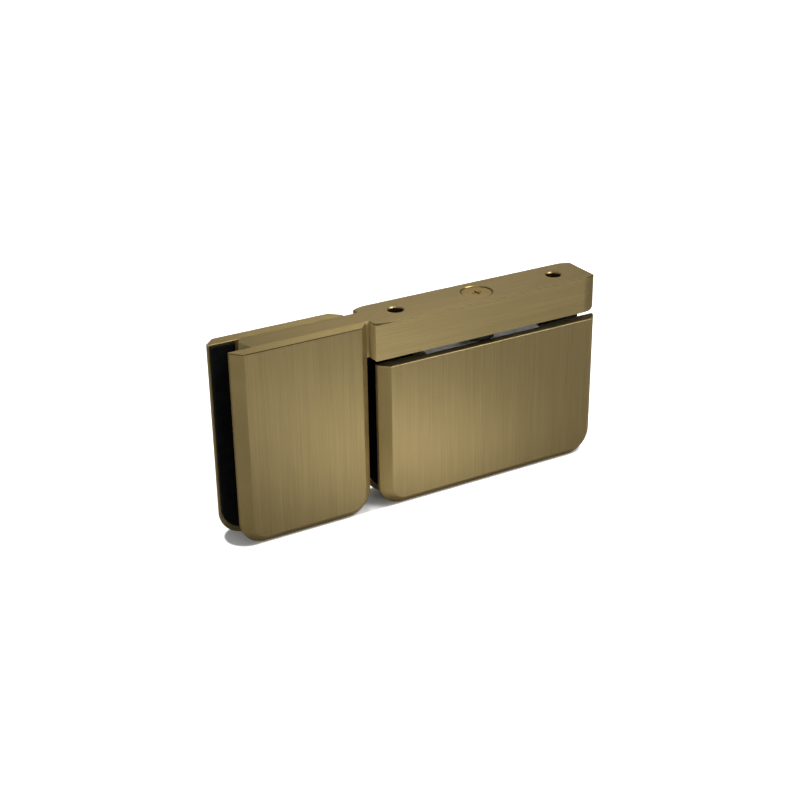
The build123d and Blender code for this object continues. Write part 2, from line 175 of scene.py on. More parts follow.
class Recipe(Nodes):
    """A new material, with the steps that the finishes share."""

    def __init__(self, name: str) -> None:
        """Makes a material whose Principled shader the finish then dresses.

        Args:
            name: The material's name.
        """
        self.material = bpy.data.materials.new(name)
        self.material.use_nodes = True
        super().__init__(self.material.node_tree)
        self.shader = self.tree.nodes["Principled BSDF"]
        self.place = self.add("ShaderNodeTexCoord").outputs["Object"]

    def set(self, **values: Any) -> None:
        """Gives the shader's inputs their values or links, with underscores for the spaces in their names."""
        for name, value in values.items():
            self.feed(self.shader.inputs[name.replace("_", " ")], value)

    def marks(self, size_mm: Sequence[float], detail: float = 2.0, place: Any = None) -> Node:
        """Lays a noise over the piece, stretched to the real size of its marks.

        Args:
            size_mm: The size of a mark along X, Y and Z.
            detail: How much finer detail the noise has.
            place: The coordinates to read, or None for the piece's own.

        Returns:
            The noise.
        """
        scale = tuple(1 / (size * MM) for size in size_mm)
        mapping = self.add("ShaderNodeMapping", Vector=place or self.place, Scale=scale)
        return self.add("ShaderNodeTexNoise", Vector=mapping, Scale=1.0, Detail=detail, Roughness=0.55)

    def colour(self, marks: Any, *hex_colours: str, start: float = NOISE_LOW, end: float = NOISE_HIGH) -> None:
        """Colours the piece by its marks, with the colours evenly spread.

        Args:
            marks: The noise to follow.
            hex_colours: The colours, from the one at the noise's low end to the one at its high end.
            start: The noise value of the first colour.
            end: The noise value of the last colour.
        """
        share = self.add("ShaderNodeMapRange", Value=marks, From_Min=start, From_Max=end)
        ramp = self.add("ShaderNodeValToRGB", Fac=share)
        elements = ramp.color_ramp.elements
        while len(elements) < len(hex_colours):
            elements.new(0.5)
        for i, colour in enumerate(hex_colours):
            elements[i].position = i / (len(hex_colours) - 1)
            elements[i].color = linear(colour)
        self.set(Base_Color=ramp)

    def polish(self, marks: Any, low: float, high: float) -> None:
        """Spreads the roughness between two limits, from the marks' low end to their high end."""
        self.set(Roughness=self.add("ShaderNodeMapRange", Value=marks, From_Min=NOISE_LOW, From_Max=NOISE_HIGH,
                                    To_Min=low, To_Max=high))

    def press(self, height: Any, depth_mm: float) -> None:
        """Presses a height into the surface, with its depth in millimetres."""
        self.set(Normal=self.add("ShaderNodeBump", Height=height, Distance=depth_mm * MM, Strength=1.0))

    def follow_grain(self, anisotropy: float) -> None:
        """Makes the shader a metal whose highlights are drawn out across the grain map's marks."""
        tangent = self.add("ShaderNodeTangent", {"direction_type": "UV_MAP", "uv_map": "grain"})
        self.set(Tangent=tangent, Metallic=1.0, Anisotropic=anisotropy, Specular_Tint=linear(BRONZE_TINT))


@dataclass(frozen=True)
class BrushedBronze:
    """Brass plate brushed with an abrasive belt, toned to bronze and lacquered.

    The eye sees fine straight streaks along the grain, and highlights drawn out across it.
    """

    grain: Grain
    shade: str = "#92815a"
    tone: str = "#9c8a5f"
    gleam: str = "#a59367"
    streak_width_mm: float = 0.28
    streak_length_mm: float = 30.0
    streak_share: float = 0.7
    mix_low: float = 0.28
    mix_high: float = 0.72
    band_width_mm: float = 2.5
    band_length_mm: float = 120.0
    roughness: float = 0.4
    roughness_swing: float = 0.05
    anisotropy: float = 0.45
    groove_mm: float = 0.003

    def material(self) -> Material:
        """Returns the finished material. The real marks are finer than 0.1 mm, so they are drawn wider to show."""
        recipe = Recipe(f"brushed_bronze_{self.grain.value}")
        streaks = recipe.marks(self.grain.marks(self.streak_width_mm, self.streak_length_mm), 3.0)
        bands = recipe.marks(self.grain.marks(self.band_width_mm, self.band_length_mm), 1.0)
        mixed = recipe.add(MATH, ADD, recipe.add(MATH, TIMES, streaks, self.streak_share),
                           recipe.add(MATH, TIMES, bands, 1 - self.streak_share))
        recipe.colour(mixed, self.shade, self.tone, self.gleam, start=self.mix_low, end=self.mix_high)
        recipe.polish(streaks, self.roughness + self.roughness_swing, self.roughness - self.roughness_swing)
        recipe.follow_grain(self.anisotropy)
        recipe.press(streaks, self.groove_mm)
        return recipe.material


@dataclass(frozen=True)
class Finish:
    """A finish whose colour and roughness follow one pattern of clouds or tool marks.

    The roughness swings by the two amounts of its swing, from the pattern's low end to its high end.
    """

    name: str
    shade: str
    tone: str
    roughness: float
    swing: tuple[float, float]
    marks_mm: tuple[float, float, float]
    detail: float = 3.0
    depth_mm: float = 0.01

    def pattern(self, recipe: Recipe) -> Node:
        """Returns the pattern, which lies on the piece's own coordinates."""
        return recipe.marks(self.marks_mm, self.detail)

    def relief(self, recipe: Recipe, pattern: Node) -> Node:
        """Returns the height that is pressed into the surface, which is the pattern itself."""
        return pattern

    def dress(self, recipe: Recipe) -> None:
        """Sets what is the same all over the surface: a bare metal."""
        recipe.set(Metallic=1.0)

    def material(self) -> Material:
        """Returns the finished material."""
        recipe = Recipe(self.name)
        pattern = self.pattern(recipe)
        recipe.colour(pattern, self.shade, self.tone)
        recipe.polish(pattern, self.roughness + self.swing[0], self.roughness + self.swing[1])
        self.dress(recipe)
        if self.depth_mm:
            recipe.press(self.relief(recipe, pattern), self.depth_mm)
        return recipe.material


@dataclass(frozen=True)
class SatinBronze(Finish):
    """The same toned brass on bevels, ends and edges, rubbed smooth and not brushed.

    The eye sees a clean band with faint clouding. Its colour is paler than the brushed face's as painted light, so
    that the bevels and ends catch light. The cut faces are paler still, also painted light, and the darker edges are
    painted shade for the dark that they mirror.
    """

    name: str = "satin_bronze_with_painted_light"
    shade: str = "#a89462"
    tone: str = "#b09c6a"
    roughness: float = 0.42
    swing: tuple[float, float] = (-0.03, 0.05)
    marks_mm: tuple[float, float, float] = (22.0, 22.0, 22.0)
    detail: float = 2.0
    depth_mm: float = 0.002
    anisotropy: float = 0.6
    metallic: float = 1.0

    def relief(self, recipe: Recipe, pattern: Node) -> Node:
        """Returns the fine grit of the rubbing, in place of the clouds."""
        return recipe.marks((0.5, 0.5, 0.5), 3.0)

    def dress(self, recipe: Recipe) -> None:
        """Sets the drawn-out highlights, and how much of the metal shows."""
        recipe.follow_grain(self.anisotropy)
        recipe.set(Metallic=self.metallic)


@dataclass(frozen=True)
class ShadedBoreBronze:
    """The wall of a drilled hole in the bar: unpolished, with the drill's rings.

    Its dark colour is painted shade for the inside of the hole. The eye sees a darker, duller ring inside a bright
    rim.
    """

    shade: str = "#3d3424"
    tone: str = "#5d5038"
    rings_mm: tuple[float, float, float] = (3.0, 3.0, 0.35)

    def material(self) -> Material:
        """Returns the finished material."""
        recipe = Recipe("bored_bronze_painted_shade")
        rings = recipe.marks(self.rings_mm, 1.0)
        recipe.colour(rings, self.shade, self.tone)
        recipe.set(Metallic=1.0, Roughness=0.5)
        recipe.press(rings, 0.02)
        return recipe.material


@dataclass(frozen=True)
class TurnedBronze(Finish):
    """The lock screw's head, faced on a lathe and plated to match the bar. The eye sees fine rings round its middle.

    Its pattern reads only the distance from the middle, so the marks have no size along Y and Z.
    """

    name: str = "turned_bronze"
    shade: str = "#8f7a4a"
    tone: str = "#a8935e"
    roughness: float = 0.3
    swing: tuple[float, float] = (-0.04, 0.06)
    marks_mm: tuple[float, float, float] = (0.4, 1000.0, 1000.0)
    detail: float = 2.0
    depth_mm: float = 0.006

    def pattern(self, recipe: Recipe) -> Node:
        """Returns rings that run round the upright axis of the piece.

        Args:
            recipe: The material.

        Returns:
            The rings.
        """
        parts = recipe.add("ShaderNodeSeparateXYZ", None, recipe.place)
        flat = recipe.add(JOIN_XYZ, None, parts.outputs["X"], parts.outputs["Y"])
        radius = recipe.add(VECTOR_MATH, {"operation": "LENGTH"}, flat).outputs["Value"]
        return recipe.marks(self.marks_mm, self.detail, recipe.add(JOIN_XYZ, None, radius))

    def dress(self, recipe: Recipe) -> None:
        """Sets a toned metal."""
        recipe.set(Metallic=1.0, Specular_Tint=linear(BRONZE_TINT))


@dataclass(frozen=True)
class PlatedSteel(Finish):
    """A machine screw plated bronze. The eye sees a satin metal with a little clouding from the plating bath."""

    name: str = "plated_screw_steel"
    shade: str = "#6b5c3d"
    tone: str = "#8c7c57"
    roughness: float = 0.3
    swing: tuple[float, float] = (-0.04, 0.1)
    marks_mm: tuple[float, float, float] = (1.5, 1.5, 1.5)
    depth_mm: float = 0.0


@dataclass(frozen=True)
class GasketRubber(Finish):
    """Calendered black neoprene sheet, darker than rubber is: partly its own black, partly painted shade.

    The painted shade is that of the deep slot between the plates. The eye sees a dull near black with a faint
    cool clouding.
    """

    name: str = "gasket_rubber_with_painted_shade"
    shade: str = "#030304"
    tone: str = "#070809"
    roughness: float = 0.55
    swing: tuple[float, float] = (-0.05, 0.1)
    marks_mm: tuple[float, float, float] = (4.0, 4.0, 4.0)
    detail: float = 4.0
    depth_mm: float = 0.015

    def relief(self, recipe: Recipe, pattern: Node) -> Node:
        """Returns the grain of the rollers, in place of the clouds."""
        return recipe.marks((0.4, 0.4, 0.4))

    def dress(self, recipe: Recipe) -> None:
        """Sets a rubber that mirrors little."""
        recipe.set(IOR=1.52, Specular_IOR_Level=0.12)


@dataclass(frozen=True)
class MouldedBlack(Finish):
    """Black plastic: nylon for the sleeves, acetal for the bushes. The eye sees a fine moulded texture on black.

    The bushes are near pure black: partly the acetal's own black, partly painted shade for the gap under the bar.
    """

    swing: tuple[float, float] = (-0.04, 0.06)
    marks_mm: tuple[float, float, float] = (1.2, 1.2, 1.2)

    def dress(self, recipe: Recipe) -> None:
        """Sets a plastic."""
        recipe.set(IOR=1.48)


@dataclass(frozen=True)
class MachinedSteel(Finish):
    """Steel cut and left bare: milled on the core block, turned on the pin, drawn on the springs.

    The eye sees a cool grey with fine tool marks across the length of the piece. The core block is coloured far
    paler than bare steel: painted light, for the light that reaches it in the gap under the bar.
    """

    swing: tuple[float, float] = (-0.05, 0.08)
    marks_mm: tuple[float, float, float] = (0.5, 6.0, 0.5)


class Finishes:
    """Makes each finish once and keeps it for all the pieces that share it."""

    def __init__(self) -> None:
        """Builds the materials."""
        self.upright = BrushedBronze(Grain.UPRIGHT).material()
        self.lengthwise = BrushedBronze(Grain.LENGTHWISE).material()
        # The satin bronze is paler than the brushed bronze as painted light, so the bevels and ends catch light.
        self.satin = SatinBronze().material()
        # The cut bronze is paler still and partly diffuse: painted light on the tongue's sides and the ends beside it.
        self.cut = SatinBronze("cut_bronze_painted_light", "#b9a878", "#c4b485", 0.6, metallic=0.65).material()
        # The dark edge finish is painted shade: door plate tops and the bar's ledge are darkened for the dark they
        # mirror.
        self.rim = SatinBronze("painted_shade_edge_bronze", "#3d3520", "#483f27", 0.6).material()
        # The top edge finish is painted shade: it darkens the bar's broken top front edge against the highlight it
        # catches.
        self.edge = SatinBronze("painted_shade_top_edge_bronze", "#61553a", "#6b5f41", 0.6).material()
        # The bore's dark colour is painted shade inside the bar's holes.
        self.bored = ShadedBoreBronze().material()
        self.turned = TurnedBronze().material()
        self.screw = PlatedSteel().material()
        # The gasket's near black is partly the rubber's own black and partly painted shade for the deep slot.
        self.rubber = GasketRubber().material()
        self.sleeve = MouldedBlack("sleeve_nylon", "#1a1a1a", "#2a2a2a", 0.5).material()
        # The bushes' near black is partly the acetal's own black and partly painted shade for the gap under the bar.
        self.acetal = MouldedBlack("bush_acetal_with_painted_shade", "#050505", "#0a0a0b", 0.55).material()
        # The core block's pale colour is painted light in the shaded gap under the bar.
        self.core = MachinedSteel("milled_core_steel_painted_light", "#d6dee4", "#eef3f6", 0.45).material()
        self.steel = MachinedSteel("turned_pin_steel", "#77777a", "#9a9a9d", 0.28, marks_mm=(0.3, 6.0, 0.3)).material()
        self.spring = MachinedSteel("drawn_spring_steel", "#5c5c60", "#85858a", 0.3,
                                    marks_mm=(0.25, 6.0, 0.25)).material()


def add_object(name: str, data: bpy.types.ID) -> Piece:
    """Links a new object that shows a mesh where its vertices are, or holds a lamp or the camera.

    Args:
        name: The object's name.
        data: The mesh, lamp or camera.

    Returns:
        The new object.
    """
    piece = bpy.data.objects.new(name, data)
    bpy.context.scene.collection.objects.link(piece)
    return piece


@contextmanager
def reshaping(mesh: bpy.types.Mesh) -> Iterator[bmesh.types.BMesh]:
    """Opens a mesh for editing, and writes it back at the end.

    Args:
        mesh: The mesh, which may be empty.

    Yields:
        The editable copy.
    """
    shape = bmesh.new()
    shape.from_mesh(mesh)
    yield shape
    shape.to_mesh(mesh)
    shape.free()


def cad_copy(name: str, node: str) -> Piece:
    """Copies a CAD node into a new piece with joined vertices and whole faces.

    Args:
        name: The new piece's name.
        node: The CAD node to copy.

    Returns:
        The new piece.
    """
    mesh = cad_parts[node].data.copy()
    mesh.name = name
    mesh.materials.clear()
    with reshaping(mesh) as shape:
        bmesh.ops.remove_doubles(shape, verts=shape.verts, dist=WELD_MM * MM)
        bmesh.ops.dissolve_limit(shape, angle_limit=math.radians(0.4), verts=shape.verts, edges=shape.edges)
    return add_object(name, mesh)


def soften(piece: Piece, width_mm: float, angle_deg: float = 30.0, segments: int = 2, even: bool = False) -> None:
    """Rounds a piece's sharp edges with a Bevel modifier.

    Args:
        piece: The piece.
        width_mm: The width of the rounding.
        angle_deg: The least angle of an edge that is rounded.
        segments: The faces across each rounding.
        even: Whether the width is kept even past the piece's short and slanting edges.
    """
    bevel = piece.modifiers.new("soft_edges", "BEVEL")
    bevel.width = width_mm * MM
    bevel.segments = segments
    bevel.limit_method = "ANGLE"
    bevel.angle_limit = math.radians(angle_deg)
    bevel.harden_normals = True
    bevel.use_clamp_overlap = not even
    bevel.loop_slide = not even


def settle(piece: Piece) -> None:
    """Turns a piece and its modifiers into one plain mesh.

    Args:
        piece: The piece.
    """
    bpy.context.view_layer.update()
    evaluated = piece.evaluated_get(bpy.context.evaluated_depsgraph_get())
    mesh = bpy.data.meshes.new_from_object(evaluated)
    piece.modifiers.clear()
    piece.data = mesh


def flatten(piece: Piece) -> None:
    """Sets the shading of a piece's level and upright faces square to them, so that none shows a stray crease.

    Args:
        piece: The piece.
    """
    mesh = piece.data
    normals = [corner.vector.copy() for corner in mesh.corner_normals]
    for face in mesh.polygons:
        if max(abs(part) for part in face.normal) > SQUARE:
            for loop in face.loop_indices:
                normals[loop] = face.normal.copy()
    mesh.normals_split_custom_set(normals)


def shade(piece: Piece, angle_deg: float = 30.0) -> None:
    """Shades a piece smooth across its gentle edges and keeps its sharp ones."""
    piece.data.shade_smooth()
    piece.data.set_sharp_from_angle(angle=math.radians(angle_deg))


def map_grain(piece: Piece, grain: Grain) -> None:
    """Lays a UV map whose U runs across the brush marks, so that highlights are drawn out that way.

    Args:
        piece: The piece.
        grain: The way its marks run.
    """
    mesh = piece.data
    layer = mesh.uv_layers.get("grain") or mesh.uv_layers.new(name="grain")
    for face in mesh.polygons:
        along = grain.direction()
        across = face.normal.cross(along)
        if across.length < END_PART:
            across = Vector((0, 1, 0))
        across.normalize()
        along = across.cross(face.normal)
        for loop in face.loop_indices:
            place = mesh.vertices[mesh.loops[loop].vertex_index].co
            layer.data[loop].uv = (place.dot(across) / MM, place.dot(along) / MM)


def install(piece: Piece, body: str, slot: str, *nodes: str) -> Piece:
    """Lets a piece ride on a CAD body in place of its nodes.

    Args:
        piece: The finished piece.
        body: The CAD body that carries it.
        slot: The record's material slot. It is not used.
        nodes: The CAD nodes that it stands for.

    Returns:
        The same piece.
    """
    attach(piece, body)
    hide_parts(*nodes)
    LOG.info("%s rides on %s with %d faces", piece.name, body, len(piece.data.polygons))
    return piece


def dress(node: str, material: Material) -> None:
    """Gives a CAD node that keeps its own mesh a better material.

    Args:
        node: The CAD node.
        material: The material.
    """
    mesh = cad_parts[node].data
    mesh.materials.clear()
    mesh.materials.append(material)
    LOG.info("%s keeps its CAD mesh", node)


class Tree(Nodes):
    """A Geometry Nodes tree with named inputs, made for one kind of piece."""

    def __init__(self, name: str, **inputs: float) -> None:
        """Makes the tree with a geometry input and one number for each named size.

        Args:
            name: The tree's name.
            inputs: Each size's name and usual value.
        """
        super().__init__(bpy.data.node_groups.new(name, "GeometryNodeTree"))
        self.tree.interface.new_socket("Geometry", in_out="INPUT", socket_type="NodeSocketGeometry")
        self.names: dict[str, str] = {}
        for label, value in inputs.items():
            socket = self.tree.interface.new_socket(label, in_out="INPUT", socket_type="NodeSocketFloat")
            socket.default_value = value
            self.names[label] = socket.identifier
        self.tree.interface.new_socket("Geometry", in_out="OUTPUT", socket_type="NodeSocketGeometry")
        self.start = self.add("NodeGroupInput")

    def sizes(self, *labels: str) -> list[bpy.types.NodeSocket]:
        """Returns the sockets of some named sizes."""
        return [self.start.outputs[label] for label in labels]

    def sink(self, shape: Node, size: Any, share: float = 1.0) -> Node:
        """Moves a shape down.

        Args:
            shape: The shape.
            size: The size that it goes down by.
            share: The share of that size.

        Returns:
            The moved shape.
        """
        drop = self.add(MATH, TIMES, size, -share)
        place = self.add(JOIN_XYZ, None, 0.0, 0.0, drop)
        return self.add("GeometryNodeTransform", Geometry=shape, Translation=place)

    def close(self, geometry: Node, material: Material, picked: Any = None,
              picked_material: Material | None = None) -> None:
        """Ends the tree in real geometry with its materials.

        Args:
            geometry: The geometry so far.
            material: The material for all of it.
            picked: A field that picks some of its faces, or None.
            picked_material: The material of the picked faces.
        """
        real = self.add("GeometryNodeRealizeInstances", Geometry=geometry)
        last = self.add("GeometryNodeSetMaterial", Geometry=real, Material=material)
        if picked is not None:
            last = self.add("GeometryNodeSetMaterial", Geometry=last, Selection=picked, Material=picked_material)
        self.add("NodeGroupOutput", Geometry=last)

    def repeat(self, shape: Node, turn_deg: tuple[float, float, float], material: Material) -> None:
        """Stands a turned copy of a shape at each point of the piece's mesh, and ends the tree.

        Args:
            shape: The shape.
            turn_deg: Its turn about X, Y and Z.
            material: Its material.
        """
        turn = tuple(math.radians(angle) for angle in turn_deg)
        self.close(self.add("GeometryNodeInstanceOnPoints", Points=self.start, Instance=shape, Rotation=turn),
                   material)

    def apply(self, piece: Piece, **sizes: float) -> None:
        """Adds the tree to a piece as a modifier and sets its sizes by their identifiers.

        Args:
            piece: The piece.
            sizes: Each size by its name.
        """
        modifier = piece.modifiers.new(self.tree.name, "NODES")
        modifier.node_group = self.tree
        for label, value in sizes.items():
            modifier[self.names[label]] = value


def plate_tree(face: Material, edge: Material) -> Tree:
    """Builds the rule of a clamp plate: three rounded outlines, hulled together, less the piece's own cutters.

    Args:
        face: The brushed finish of the flat face.
        edge: The satin finish of the bevels and sides.

    Returns:
        The tree, whose sizes are in metres.
    """
    tree = Tree("bevelled_plate", left=0.0, right=0.0, top=0.0, bottom=0.0, seat=0.0, land=0.0, front=0.0,
                corner=0.0, bevel=0.0, join=0.0)
    start, end, top, foot = tree.sizes("left", "right", "top", "bottom")
    corner, bevel, join = tree.sizes("corner", "bevel", "join")
    rings = []
    for level, inset in zip(tree.sizes("seat", "land", "front"), (0.0, 0.0, bevel)):
        left, bottom = (tree.add(MATH, ADD, size, inset) for size in (start, foot))
        right, radius = (tree.add(MATH, TAKE, size, inset) for size in (end, corner))
        corners = [tree.add(JOIN_XYZ, None, x, level, z)
                   for x, z in ((left, top), (left, bottom), (right, bottom), (right, top))]
        outline = tree.add("GeometryNodeCurvePrimitiveQuadrilateral", {"mode": "POINTS"},
                           **{f"Point_{i}": place for i, place in enumerate(corners, 1)})
        opened = tree.add("GeometryNodeSetSplineCyclic", Geometry=outline, Cyclic=False)
        rings.append(tree.add("GeometryNodeFilletCurve", {"mode": "POLY"}, Curve=opened, Count=16, Radius=radius))
    hull = tree.add("GeometryNodeConvexHull", Geometry=tree.add("GeometryNodeJoinGeometry", Geometry=rings))
    cut = tree.add("GeometryNodeMeshBoolean", {"operation": "DIFFERENCE", "solver": "EXACT"}, Mesh_1=hull,
                   Mesh_2=tree.start)
    whole = tree.add("GeometryNodeMergeByDistance", Geometry=cut, Distance=join)
    normal = tree.add("GeometryNodeInputNormal").outputs["Normal"]
    facing = tree.add(MATH, {"operation": "ABSOLUTE"},
                      tree.add("ShaderNodeSeparateXYZ", None, normal).outputs["Y"])
    flat = tree.add("FunctionNodeCompare", {"operation": "GREATER_THAN"}, A=facing, B=0.99)
    tree.close(whole, edge, flat, face)
    return tree


def screw_tree(material: Material) -> Tree:
    """Builds a countersunk socket screw, driven along -Y, at each point of the piece's mesh.

    Args:
        material: The screw's finish.

    Returns:
        The tree, whose sizes are in metres.
    """
    tree = Tree("clamp_screws", head=0.005, shank=0.00245, length=0.02, socket=0.0015, socket_depth=0.0022,
                pitch=0.0009)
    head, shank, length, pitch = tree.sizes("head", "shank", "length", "pitch")
    socket, socket_depth = tree.sizes("socket", "socket_depth")
    cone_depth = tree.add(MATH, TAKE, head, shank)
    cone = tree.add("GeometryNodeMeshCone", Vertices=48, Side_Segments=1, Radius_Top=head, Radius_Bottom=shank,
                    Depth=cone_depth)
    half_pitch = tree.add(MATH, TIMES, pitch, 0.5)
    thread_depth = tree.add(MATH, TIMES, half_pitch, 0.6)
    core = tree.add("GeometryNodeMeshCylinder", Vertices=32, Depth=length,
                    Radius=tree.add(MATH, TAKE, shank, thread_depth))
    opening = tree.add("GeometryNodeMeshCylinder", Vertices=6,
                       Radius=tree.add(MATH, TIMES, socket, HEXAGON),
                       Depth=tree.add(MATH, TIMES, socket_depth, 2.0))
    solid = tree.add("GeometryNodeMeshBoolean", {"operation": "UNION", "solver": "EXACT"},
                     Mesh_2=[tree.sink(cone, cone_depth), tree.sink(core, length, 0.5)])
    bored = tree.add("GeometryNodeMeshBoolean", {"operation": "DIFFERENCE", "solver": "EXACT"}, Mesh_1=solid,
                     Mesh_2=opening)
    thread_start = tree.add(MATH, TAKE, length, half_pitch)
    thread_run = tree.add(MATH, TAKE, thread_start, tree.add(MATH, ADD, cone_depth, pitch))
    crest_radius = tree.add(MATH, TIMES, half_pitch, 0.5)
    helix_radius = tree.add(MATH, TAKE, shank, crest_radius)
    helix = tree.add("GeometryNodeCurveSpiral", Resolution=20, Start_Radius=helix_radius, End_Radius=helix_radius,
                     Height=thread_run, Rotations=tree.add(MATH, DIVIDE, thread_run, pitch))
    crest = tree.add("GeometryNodeCurvePrimitiveCircle", Resolution=4, Radius=crest_radius)
    thread = tree.add("GeometryNodeCurveToMesh", Curve=helix, Profile_Curve=crest, Fill_Caps=True)
    screw = tree.add("GeometryNodeJoinGeometry", Geometry=[bored, tree.sink(thread, thread_start)])
    tree.repeat(screw, (-90.0, 0.0, 0.0), material)
    return tree


def sleeve_tree(material: Material) -> Tree:
    """Builds a plain sleeve along Y round each point of the piece's mesh.

    Args:
        material: The sleeve's finish.

    Returns:
        The tree, whose sizes are in metres.
    """
    tree = Tree("glass_sleeves", middle=0.0036, wall=0.0018, length=0.01)
    middle, wall, length = tree.sizes("middle", "wall", "length")
    ring = tree.add("GeometryNodeCurvePrimitiveCircle", Resolution=48, Radius=middle)
    section = tree.add("GeometryNodeCurvePrimitiveQuadrilateral", Width=wall, Height=length)
    sleeve = tree.add("GeometryNodeCurveToMesh", Curve=ring, Profile_Curve=section)
    tree.repeat(sleeve, (-90.0, 0.0, 0.0), material)
    return tree


def spring_tree(material: Material) -> Tree:
    """Builds a coil spring along X from each point of the piece's mesh, with flat closed ends.

    Args:
        material: The spring's finish.

    Returns:
        The tree, whose lengths are in metres.
    """
    tree = Tree("detent_springs", radius=0.0028, wire=0.0005, length=0.01, turns=4.5)
    radius, wire, length, turns = tree.sizes("radius", "wire", "length", "turns")
    coil = tree.add("GeometryNodeCurveSpiral", Resolution=36, Rotations=turns, Start_Radius=radius,
                    End_Radius=radius, Height=length)
    section = tree.add("GeometryNodeCurvePrimitiveCircle", Resolution=12, Radius=wire)
    spring = tree.add("GeometryNodeCurveToMesh", Curve=coil, Profile_Curve=section, Fill_Caps=True)
    tree.repeat(spring, (0.0, 90.0, 0.0), material)
    return tree


def points_piece(name: str, places: Sequence[Vector]) -> Piece:
    """Makes a piece whose mesh is only points, for a tree to build on.

    Args:
        name: The piece's name.
        places: The points.

    Returns:
        The new piece.
    """
    mesh = bpy.data.meshes.new(name)
    mesh.from_pydata([tuple(place) for place in places], [], [])
    return add_object(name, mesh)


def add_solid(shape: bmesh.types.BMesh, rings: Sequence[Sequence[Vector]]) -> None:
    """Adds a closed solid to a mesh of cutters.

    Args:
        shape: The mesh to add to.
        rings: The places of its corners, ring by ring from one end to the other, with as many in each ring.
    """
    loops = [[shape.verts.new(place) for place in ring] for ring in rings]
    for first, second in zip(loops, loops[1:]):
        for i in range(len(first)):
            j = (i + 1) % len(first)
            shape.faces.new((first[i], first[j], second[j], second[i]))
    shape.faces.new(loops[0])
    shape.faces.new(loops[-1])


